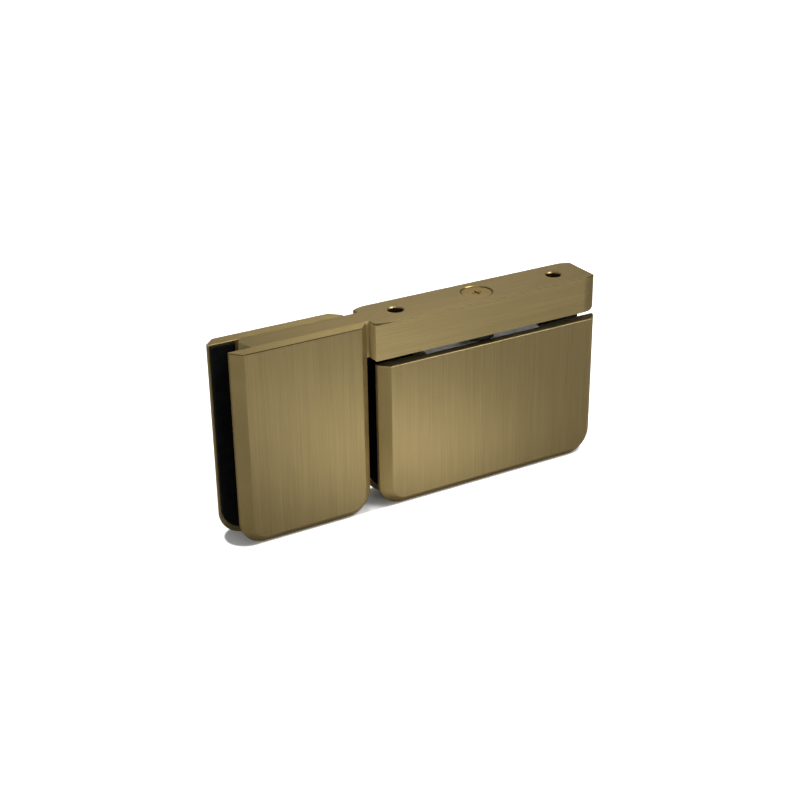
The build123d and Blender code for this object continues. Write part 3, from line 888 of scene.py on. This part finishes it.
@dataclass
class ClampPlate:
    """One bevelled plate of a clamp, front or back. Its outer sizes are its node's, and the rest are here."""

    node: str
    body: str
    screw_places: list[Vector]
    corner_mm: float = 11.0
    bevel_mm: float = 4.4
    soft_edge_mm: float = 0.3
    screw_hole_mm: float = 2.65
    sink_mm: float = 5.1
    thread_depth_mm: float = 3.7
    thread_hole_mm: float = 2.5
    pocket_clearance_mm: float = 0.05
    pocket_corner_mm: float = 3.0
    join_mm: float = 0.05
    round_steps: int = 48
    pocket_steps: int = 8
    top_part: float = 0.9
    edge_part: float = 0.25

    def __post_init__(self) -> None:
        """Reads the plate's box and finds which side of the glass it is on."""
        self.low, self.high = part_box(self.node)
        self.is_back = self.low.y > 0
        self.facing = 1.0 if self.is_back else -1.0
        self.seat, self.front = (self.low.y, self.high.y) if self.is_back else (self.high.y, self.low.y)

    def cutters(self) -> bpy.types.Mesh:
        """Makes the holes of the plate, and the pocket of a door plate, as one mesh of closed solids.

        Returns:
            The mesh of cutters.
        """
        depth = (self.high.y - self.low.y) / MM
        sink = self.sink_mm - self.screw_hole_mm
        profile = [(self.thread_hole_mm, -1.0), (self.thread_hole_mm, self.thread_depth_mm)]
        if self.is_back:
            profile = [(self.screw_hole_mm, -1.0), (self.screw_hole_mm, depth - sink), (self.sink_mm, depth),
                       (self.sink_mm, depth + 1.0)]
        mesh = bpy.data.meshes.new(self.node)
        with reshaping(mesh) as shape:
            for place in self.screw_places:
                self.add_hole(shape, profile, place)
            if self.body == "door":
                self.add_core_pocket(shape)
            bmesh.ops.recalc_face_normals(shape, faces=shape.faces)
        return mesh

    def add_hole(self, shape: bmesh.types.BMesh, profile: Sequence[tuple[float, float]], middle: Vector) -> None:
        """Adds a hole turned about an axis along Y.

        Args:
            shape: The mesh of cutters.
            profile: Pairs of radius and depth from the plate's seat, in millimetres, from one end to the other.
            middle: A place on its axis.
        """
        turns = [2 * math.pi * i / self.round_steps for i in range(self.round_steps)]
        add_solid(shape, [[
            Vector((middle.x + radius * MM * math.cos(turn), self.seat + self.facing * depth * MM,
                    middle.z + radius * MM * math.sin(turn))) for turn in turns
        ] for radius, depth in profile])

    def add_core_pocket(self, shape: bmesh.types.BMesh) -> None:
        """Adds the pocket that the core block is let into, open at the plate's top and round at its lower corners.

        Args:
            shape: The mesh of cutters.
        """
        low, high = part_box("door_core_block")
        room = Vector((1, 1, 1)) * self.pocket_clearance_mm * MM
        low, high = low - room, high + room
        corner, top = self.pocket_corner_mm * MM, self.high.z + MM
        outline = [(low.x, top)]
        for middle, start in ((low.x + corner, math.pi), (high.x - corner, 1.5 * math.pi)):
            for i in range(self.pocket_steps + 1):
                turn = start + i / self.pocket_steps * math.pi / 2
                outline.append((middle + corner * math.cos(turn), low.z + corner + corner * math.sin(turn)))
        outline.append((high.x, top))
        add_solid(shape, [[Vector((x, y, z)) for x, z in outline] for y in (low.y, high.y)])

    def divide(self, mesh: bpy.types.Mesh) -> None:
        """Cuts the plate's faces through the middle of each hole, so that none has to wrap round a hole.

        Args:
            mesh: The plate's mesh, before its edges are softened.
        """
        with reshaping(mesh) as shape:
            for place in self.screw_places:
                for normal in ((1, 0, 0), (0, 0, 1)):
                    bmesh.ops.bisect_plane(shape, geom=shape.verts[:] + shape.edges[:] + shape.faces[:],
                                           dist=WELD_MM * MM, plane_co=place, plane_no=normal)

    def is_painted_shade(self, face: bpy.types.MeshPolygon) -> bool:
        """Tells whether a face at the plate's top gets painted shade: a door plate's top, a side plate's outer top
        edge.

        Args:
            face: The face.

        Returns:
            True for a dark face.
        """
        if face.center.z <= self.high.z - MM:
            return False
        if self.body == "door":
            return face.normal.z > self.top_part
        return face.normal.y * self.facing > self.edge_part and face.normal.z > self.edge_part

    def build(self, tree: Tree, label: str, rim: Material) -> Piece:
        """Builds the plate by its rule, softens its edges and fits it.

        Args:
            tree: The plates' tree.
            label: The piece's name.
            rim: The finish of the faces at the plate's top that are painted dark, as painted shade.

        Returns:
            The finished piece.
        """
        piece = add_object(label, self.cutters())
        tree.apply(piece, left=self.low.x, right=self.high.x, top=self.high.z, bottom=self.low.z, seat=self.seat,
                   land=self.front - self.facing * self.bevel_mm * MM, front=self.front,
                   corner=self.corner_mm * MM, bevel=self.bevel_mm * MM, join=self.join_mm * MM)
        settle(piece)
        self.divide(piece.data)
        soften(piece, self.soft_edge_mm, segments=3, even=True)
        settle(piece)
        flatten(piece)
        materials = piece.data.materials
        for i in reversed(range(len(materials))):
            if materials[i] is None:
                materials.pop(index=i)
        materials.append(rim)
        for face in piece.data.polygons:
            if self.is_painted_shade(face):
                face.material_index = len(materials) - 1
        map_grain(piece, Grain.UPRIGHT)
        return install(piece, self.body, "brushed_bronze", self.node)


@dataclass
class Clamp:
    """Two plates with their gaskets, sleeves and screws, on one body."""

    prefix: str
    body: str
    screw_node: str
    sleeve_node: str
    upper_spacing_mm: float
    screw_head_mm: float = 5.0
    screw_shank_mm: float = 2.45
    sleeve_radius_mm: float = 4.5
    sleeve_bore_mm: float = 2.65
    soft_edge_mm: float = 0.2

    def screw_places(self) -> list[Vector]:
        """Returns the middle of each screw's head, from the corners of the screws' box.

        Returns:
            The upper pair, then the lower pair.
        """
        low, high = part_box(self.screw_node)
        head = self.screw_head_mm * MM
        middle = (low.x + high.x) / 2
        upper = self.upper_spacing_mm / 2 * MM
        top, bottom = high.z - head, low.z + head
        return [
            Vector((middle - upper, high.y, top)), Vector((middle + upper, high.y, top)),
            Vector((low.x + head, high.y, bottom)), Vector((high.x - head, high.y, bottom)),
        ]

    def build_plates(self, tree: Tree, rim: Material) -> None:
        """Builds the front and the back plate, whose tops are painted dark as painted shade.

        Args:
            tree: The plates' tree.
            rim: The painted-shade finish of the dark faces.
        """
        for side in ("front", "back"):
            plate = ClampPlate(f"{self.prefix}_{side}_plate", self.body, self.screw_places())
            plate.build(tree, f"{self.prefix}_clamp_{side}_plate", rim)

    def build_gaskets(self, rubber: Material) -> None:
        """Rounds the edges of both gaskets and dresses them.

        Args:
            rubber: Their finish.
        """
        for side in ("front", "back"):
            node = f"{self.prefix}_{side}_gasket"
            piece = cad_copy(f"{self.prefix}_clamp_{side}_gasket", node)
            piece.data.materials.append(rubber)
            soften(piece, self.soft_edge_mm, 60.0)
            settle(piece)
            install(piece, self.body, "gasket", node)

    def build_screws(self, tree: Tree) -> None:
        """Puts a screw at each place.

        Args:
            tree: The screws' tree.
        """
        low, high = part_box(self.screw_node)
        piece = points_piece(f"{self.prefix}_socket_screws", self.screw_places())
        tree.apply(piece, head=self.screw_head_mm * MM, shank=self.screw_shank_mm * MM, length=high.y - low.y)
        settle(piece)
        shade(piece)
        install(piece, self.body, "clamp_screw", self.screw_node)

    def build_sleeves(self, tree: Tree) -> None:
        """Puts a sleeve round each lower screw, between the plates.

        Args:
            tree: The sleeves' tree.
        """
        low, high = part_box(self.sleeve_node)
        radius = self.sleeve_radius_mm * MM
        level = (low.z + high.z) / 2
        places = [Vector((x, 0, level)) for x in (low.x + radius, high.x - radius)]
        wall = (self.sleeve_radius_mm - self.sleeve_bore_mm) * MM
        piece = points_piece(f"{self.prefix}_screw_sleeves", places)
        tree.apply(piece, middle=radius - wall / 2, wall=wall, length=high.y - low.y)
        soften(piece, self.soft_edge_mm, 60.0)
        settle(piece)
        install(piece, self.body, "sleeve", self.sleeve_node)


class BarFace(IntEnum):
    """The finishes of the bar's faces, in the order of its material slots."""

    BRUSHED = 0
    SATIN = 1
    SHADED_BORE = 2
    CUT = 3
    DARK = 4
    SHADED_TOP_EDGE = 5


@dataclass
class HeaderBar:
    """The bar under the header with its tongue, its pin and the screw that holds the pin."""

    fixing_spacing_mm: float = 80.0
    hole_reach_mm: float = 7.4
    bar_end_mm: float = -55.6
    mouth_reach_mm: float = 5.0
    rim_radius_mm: float = 3.65
    mouth_radius_mm: float = 3.3
    skin_mm: float = 0.1
    bore_reach_mm: float = 7.1
    bore_break_mm: float = 0.3
    corner_start_mm: float = -48.4
    corner_end_mm: float = -54.7
    corner_side_mm: float = -8.0
    front_mm: float = -11.1
    lift_start_mm: float = 13.0
    lift_share: float = 0.22
    ledge_mm: tuple[float, float] = (-1.0, -0.05)
    # How much of a face's normal runs along one axis, at least.
    level_part: float = 0.9
    end_part: float = 0.95
    side_part: float = 0.6
    wall_part: float = 0.5
    edge_part: float = 0.25
    ledge_part: float = 0.2

    def finish_of(self, centre: Vector, normal: Vector) -> BarFace:
        """Picks the finish of a face by its place and direction.

        The walls of the upright holes get the painted shade of the bore, the tongue's sides and the ends beside it get
        the paler cut finish as painted light, the broken edge along the top and the ledge by the tongue get painted
        shade, the right end and the bevels are satin, and the rest is brushed.

        Args:
            centre: The face's middle, in millimetres.
            normal: The face's direction.

        Returns:
            The finish.
        """
        half = self.fixing_spacing_mm / 2
        in_hole = any(math.hypot(centre.x - x, centre.y) < self.hole_reach_mm for x in (-half, 0.0, half))
        if in_hole and abs(normal.z) <= self.level_part:
            return BarFace.SATIN if normal.z > self.ledge_part else BarFace.SHADED_BORE
        on_tongue = centre.x < self.bar_end_mm and abs(normal.z) < self.wall_part
        if on_tongue or (centre.x < 0 and normal.x < -self.end_part):
            return BarFace.CUT
        by_tongue = centre.x < self.corner_start_mm
        on_edge = centre.x > self.bar_end_mm and normal.y < -self.edge_part and normal.z > self.edge_part
        on_ledge = by_tongue and centre.y < self.corner_side_mm and normal.z > self.ledge_part
        if on_edge or (on_ledge and self.ledge_mm[0] < centre.z < self.ledge_mm[1]):
            return BarFace.DARK if by_tongue else BarFace.SHADED_TOP_EDGE
        if abs(normal.x) > self.side_part or max(abs(normal.y), abs(normal.z)) < self.level_part:
            return BarFace.SATIN
        return BarFace.BRUSHED

    def square_corner(self, vertex: bpy.types.MeshVertex) -> None:
        """Moves a vertex of the front corner beside the tongue out to the square corner below the top's round one.

        Args:
            vertex: The vertex, which stays where it is elsewhere on the bar.
        """
        place = vertex.co / MM
        if place.z > -self.skin_mm or place.y > self.corner_side_mm:
            return
        if self.bar_end_mm + 0.3 <= place.x <= self.corner_start_mm:
            vertex.co.y = self.front_mm * MM
            if place.x < self.corner_end_mm:
                vertex.co.x = (self.bar_end_mm + 0.1) * MM

    def draw_in_mouths(self, vertex: bpy.types.MeshVertex) -> None:
        """Moves a vertex at the mouth of a fixing hole in towards the hole's middle.

        Args:
            vertex: The vertex, which stays where it is elsewhere on the bar.
        """
        for middle in (-self.fixing_spacing_mm / 2 * MM, self.fixing_spacing_mm / 2 * MM):
            away = Vector((vertex.co.x - middle, vertex.co.y))
            if vertex.co.z > -MM and away.length < self.mouth_reach_mm * MM:
                radius = self.rim_radius_mm if vertex.co.z > -self.skin_mm * MM else self.mouth_radius_mm
                away = away.normalized() * radius * MM
                vertex.co.x, vertex.co.y = middle + away.x, away.y

    def refine(self, mesh: bpy.types.Mesh) -> None:
        """Draws in the mouths of the fixing holes, breaks the lock screw's bore and lifts the underside.

        Args:
            mesh: The bar's mesh.
        """
        for vertex in mesh.vertices:
            self.draw_in_mouths(vertex)
            below = -self.lift_start_mm * MM - vertex.co.z
            if below > 0:
                vertex.co.z += below * self.lift_share
            self.square_corner(vertex)
        with reshaping(mesh) as shape:
            rims = [edge for edge in shape.edges if all(
                abs(v.co.z) < 10 * WELD_MM * MM and v.co.xy.length < self.bore_reach_mm * MM for v in edge.verts)]
            LOG.info("the lock screw's bore has %d rim edges", len(rims))
            bmesh.ops.bevel(shape, geom=rims, offset=self.bore_break_mm * MM, segments=1, affect="EDGES")
            bmesh.ops.remove_doubles(shape, verts=shape.verts, dist=2 * WELD_MM * MM)

    def build(self, finishes: Finishes) -> None:
        """Builds the bar, with the finish of each face picked by its place and direction.

        Args:
            finishes: The materials.
        """
        piece = cad_copy("header_bar_with_tongue", "header_bar")
        settle(piece)
        mesh = piece.data
        self.refine(mesh)
        for material in (finishes.lengthwise, finishes.satin, finishes.bored, finishes.cut, finishes.rim,
                         finishes.edge):
            mesh.materials.append(material)
        for face in mesh.polygons:
            face.material_index = self.finish_of(face.center / MM, face.normal)
        shade(piece, 12.0)
        piece.modifiers.new("true_faces", "WEIGHTED_NORMAL").keep_sharp = True
        settle(piece)
        map_grain(piece, Grain.LENGTHWISE)
        install(piece, "header", "brushed_bronze", "header_bar")

    def build_pin(self, finishes: Finishes) -> None:
        """Dresses the pin, its dowel and its lock screw.

        Args:
            finishes: The materials.
        """
        dress("pivot_pin", finishes.steel)
        dress("pin_index_dowel", finishes.steel)
        dress("pivot_lock_screw", finishes.turned)


@dataclass
class PivotCore:
    """The block that turns on the pin, with its bushes and its two spring detents.

    The collar's lift is that of the bar's underside, 0.22 of the 4 mm below the level where the lift starts.
    """

    soft_edge_mm: float = 0.25
    collar_top_mm: float = -17.05
    collar_lift_mm: float = 0.88
    wire_mm: float = 0.5
    coil_turns: float = 4.5

    def build_block(self, finishes: Finishes) -> None:
        """Builds the block, and the collar above it, whose top is raised to meet the bar's lifted underside.

        Args:
            finishes: The materials.
        """
        for label, node, slot, material in (
            ("milled_core_block", "door_core_block", "core", finishes.core),
            ("flanged_collar_bush", "upper_flange_bush", "bush", finishes.acetal),
        ):
            piece = cad_copy(label, node)
            piece.data.materials.append(material)
            for vertex in piece.data.vertices:
                if node == "upper_flange_bush" and vertex.co.z > self.collar_top_mm * MM:
                    vertex.co.z += self.collar_lift_mm * MM
            soften(piece, self.soft_edge_mm, 60.0)
            settle(piece)
            install(piece, "door", slot, node)

    def build_detents(self, tree: Tree, finishes: Finishes) -> None:
        """Builds both springs and dresses the plungers and screws.

        Args:
            tree: The springs' tree.
            finishes: The materials.
        """
        for side in ("right", "left"):
            node = f"{side}_detent_spring"
            low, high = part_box(node)
            middle = (low + high) / 2
            wire = self.wire_mm * MM
            start = Vector((low.x + wire, middle.y, middle.z))
            piece = points_piece(f"{side}_coil_spring", [start])
            tree.apply(piece, radius=(high.y - low.y) / 2 - wire, wire=wire, length=high.x - low.x - 2 * wire,
                       turns=self.coil_turns)
            settle(piece)
            shade(piece, 60.0)
            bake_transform(piece)
            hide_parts(node)
            LOG.info("%s bends between the door and its plunger", piece.name)
            dress(f"{side}_detent_plunger", finishes.steel)
            dress(f"{side}_adjusting_screw", finishes.steel)

    def build_inner_parts(self, finishes: Finishes) -> None:
        """Dresses the pieces inside the block's bore.

        Args:
            finishes: The materials.
        """
        dress("lower_bush", finishes.acetal)
        dress("pin_retaining_ring", finishes.spring)
        dress("core_end_plug", finishes.core)


@dataclass(frozen=True)
class Softbox:
    """A rectangular soft lamp that faces the fitting, in metres and watts."""

    name: str
    place: tuple[float, float, float]
    size: tuple[float, float]
    power: float
    aim: tuple[float, float, float] = (-0.03, 0.0, -0.045)

    def hang(self) -> None:
        """Hangs the lamp, which the camera doesn't see."""
        data = bpy.data.lights.new(self.name, "AREA")
        data.shape = "RECTANGLE"
        data.size, data.size_y = self.size
        data.energy = self.power
        lamp = add_object(self.name, data)
        lamp.visible_camera = False
        lamp.location = self.place
        lamp.rotation_euler = (Vector(self.place) - Vector(self.aim)).to_track_quat("Z", "Y").to_euler()


@dataclass(frozen=True)
class Pool:
    """A soft-edged lamp that lights a pool of the floor in front of the fitting, in metres, degrees and watts."""

    x: float
    y: float
    angle_deg: float
    power: float
    z: float = 0.56

    def hang(self) -> None:
        """Hangs the lamp over its pool."""
        data = bpy.data.lights.new("floor_pool", "SPOT")
        data.spot_size = math.radians(self.angle_deg)
        data.spot_blend = 1.0
        data.shadow_soft_size = 0.05
        data.energy = self.power
        add_object("floor_pool", data).location = (self.x, self.y, self.z)


# The key lights the fronts from high on the right, and the front and left boxes fill its shadows. The back and low
# boxes stand behind for the top faces, and the pools light the floor that the fronts mirror.
LAMPS = (
    Softbox("key_softbox", (0.45, -0.45, 0.75), (0.6, 0.5), 8.0),
    Softbox("top_softbox", (0.0, 0.0, 1.0), (0.8, 0.8), 1.5),
    Softbox("back_softbox", (0.36, 0.71, 0.32), (0.4, 0.35), 0.32),
    Softbox("front_softbox", (0.28, -0.85, 0.12), (0.6, 0.35), 2.3),
    Softbox("low_softbox", (0.42, 0.72, 0.02), (0.6, 0.10), 1.1),
    Softbox("left_softbox", (-0.60, -0.35, 0.10), (0.4, 0.4), 1.5),
    Pool(-0.010, -0.085, 11.0, 72.0),
    Pool(-0.048, -0.045, 9.0, 30.0),
    Pool(-0.030, -0.158, 9.0, 42.0),
)


@dataclass
class Studio:
    """A pale floor, a soft grey room that shows as white, and the camera that took the photograph's view."""

    azimuth_deg: float = -29.30
    elevation_deg: float = 25.17
    roll_deg: float = -0.80
    distance_mm: float = 630.8
    target_mm: tuple[float, float, float] = (-38.47, 0.0, -42.11)
    lens_mm: float = 65.987
    floor_size_mm: float = 6000.0
    floor_drop_mm: float = 0.05
    room_level: float = 0.115
    shadow_front_mm: float = 2.6
    shadow_round_mm: float = 9.7
    shadow_edge_mm: float = 1.0
    near_glow: float = 0.0
    far_glow: float = 0.9
    mirrored_glow: float = 0.03

    def build_camera(self) -> None:
        """Sets up the camera at the photograph's viewing angle."""
        azimuth, elevation = math.radians(self.azimuth_deg), math.radians(self.elevation_deg)
        back = Vector((math.sin(azimuth) * math.cos(elevation), -math.cos(azimuth) * math.cos(elevation),
                       math.sin(elevation)))
        right = Vector((math.cos(azimuth), math.sin(azimuth), 0))
        up = back.cross(right)
        roll = math.radians(self.roll_deg)
        across = right * math.cos(roll) + up * math.sin(roll)
        upward = up * math.cos(roll) - right * math.sin(roll)
        camera = add_object("camera", bpy.data.cameras.new("camera"))
        turn = Matrix((across, upward, back)).transposed().to_4x4()
        place = (Vector(self.target_mm) + back * self.distance_mm) * MM
        camera.matrix_world = Matrix.Translation(place) @ turn
        camera.data.lens = self.lens_mm
        camera.data.sensor_width = 36.0
        camera.data.clip_start = 0.01
        bpy.context.scene.camera = camera

    def build_world(self) -> None:
        """Makes the surround: a plain soft grey room, which the camera sees as white."""
        world = bpy.data.worlds.new("surround")
        world.use_nodes = True
        bpy.context.scene.world = world
        room = Nodes(world.node_tree)
        inputs = room.tree.nodes["Background"].inputs
        inputs["Color"].default_value = linear("#ffffff")
        seen = room.add("ShaderNodeLightPath").outputs["Is Camera Ray"]
        room.feed(inputs["Strength"], room.add("ShaderNodeMapRange", Value=seen, To_Min=self.room_level, To_Max=1.0))

    def glow(self, recipe: Recipe, path: Node) -> Node:
        """Works out what the floor needs beside its lit paper to show as plain white.

        Under the fitting the camera gets none of it, so that the paper keeps the fitting's contact shadow. The
        shadow's place is the fitting's box with rounded corners, a little short at the front.

        Args:
            recipe: The floor's material.
            path: The node that tells the kinds of ray apart.

        Returns:
            The strength of the glow, from 0 to 1.
        """
        low, high = CAD_BOX[0] + Vector((0, self.shadow_front_mm * MM, 0)), CAD_BOX[1]
        half = (high - low) / 2
        core = (half.x - self.shadow_round_mm * MM, half.y - self.shadow_round_mm * MM, 1.0)
        offset = recipe.add(VECTOR_MATH, TAKE, recipe.place, (low + high) / 2)
        distance = recipe.add(VECTOR_MATH, {"operation": "ABSOLUTE"}, offset)
        beyond = recipe.add(VECTOR_MATH, TAKE, distance, core)
        outside = recipe.add(VECTOR_MATH, {"operation": "MAXIMUM"}, beyond, (0.0, 0.0, 0.0))
        away = recipe.add(VECTOR_MATH, {"operation": "LENGTH"}, outside).outputs["Value"]
        share = recipe.add("ShaderNodeMapRange", Value=away, To_Min=self.near_glow, To_Max=self.far_glow,
                           From_Min=(self.shadow_round_mm - self.shadow_edge_mm) * MM,
                           From_Max=self.shadow_round_mm * MM)
        seen = recipe.add(MATH, {"operation": "MAXIMUM"}, path.outputs["Is Camera Ray"],
                          path.outputs["Is Transmission Ray"])
        mirrored = recipe.add(MATH, TIMES, path.outputs["Is Glossy Ray"], self.mirrored_glow)
        return recipe.add(MATH, ADD, recipe.add(MATH, TIMES, seen, share), mirrored)

    def build_floor(self) -> None:
        """Lays the floor under the plates, whose bare colour is pale and whose shadow stays.

        In the metal's reflections the paper is painted a darker grey: painted shade.
        """
        low = CAD_BOX[0]
        half = self.floor_size_mm / 2 * MM
        level = low.z - self.floor_drop_mm * MM
        mesh = bpy.data.meshes.new("studio_floor")
        corners = [(-half, -half, level), (half, -half, level), (half, half, level), (-half, half, level)]
        mesh.from_pydata(corners, [], [(0, 1, 2, 3)])
        floor = add_object("studio_floor", mesh)
        recipe = Recipe("pale_studio_paper")
        path = recipe.add("ShaderNodeLightPath")
        # Rays mirrored by the metal see the paper darker grey: painted shade on the floor's reflection.
        recipe.colour(path.outputs["Is Glossy Ray"], "#f4f4f4", "#9e9e9e", start=0.0, end=1.0)
        recipe.set(Roughness=0.9, Specular_IOR_Level=0.0)
        glow = recipe.add("ShaderNodeEmission", Strength=self.glow(recipe, path))
        mixed = recipe.add("ShaderNodeAddShader", None, recipe.shader, glow)
        recipe.feed(recipe.tree.nodes["Material Output"].inputs["Surface"], mixed)
        mesh.materials.append(recipe.material)

    def build(self) -> None:
        """Builds the whole set."""
        self.build_world()
        self.build_floor()
        for lamp in LAMPS:
            lamp.hang()
        self.build_camera()


def main() -> None:
    """Builds the fitting piece by piece round the CAD frame, then the studio."""
    logging.basicConfig(level=logging.INFO, format="%(message)s", stream=sys.stdout)
    bpy.context.scene.view_settings.view_transform = "Standard"
    finishes = Finishes()
    plates = plate_tree(finishes.upright, finishes.satin)
    screws = screw_tree(finishes.screw)
    sleeves = sleeve_tree(finishes.sleeve)
    springs = spring_tree(finishes.spring)
    bar = HeaderBar()
    bar.build(finishes)
    bar.build_pin(finishes)
    side_clamp = Clamp("side", "header", "side_clamp_screws", "side_glass_sleeves", 26.0)
    door_clamp = Clamp("door", "door", "door_clamp_screws", "door_glass_sleeves", 40.0)
    for clamp in (side_clamp, door_clamp):
        clamp.build_plates(plates, finishes.rim)
        clamp.build_gaskets(finishes.rubber)
        clamp.build_screws(screws)
        clamp.build_sleeves(sleeves)
    core = PivotCore()
    core.build_block(finishes)
    core.build_detents(springs, finishes)
    core.build_inner_parts(finishes)
    Studio().build()


if __name__ == "__main__":
    main()
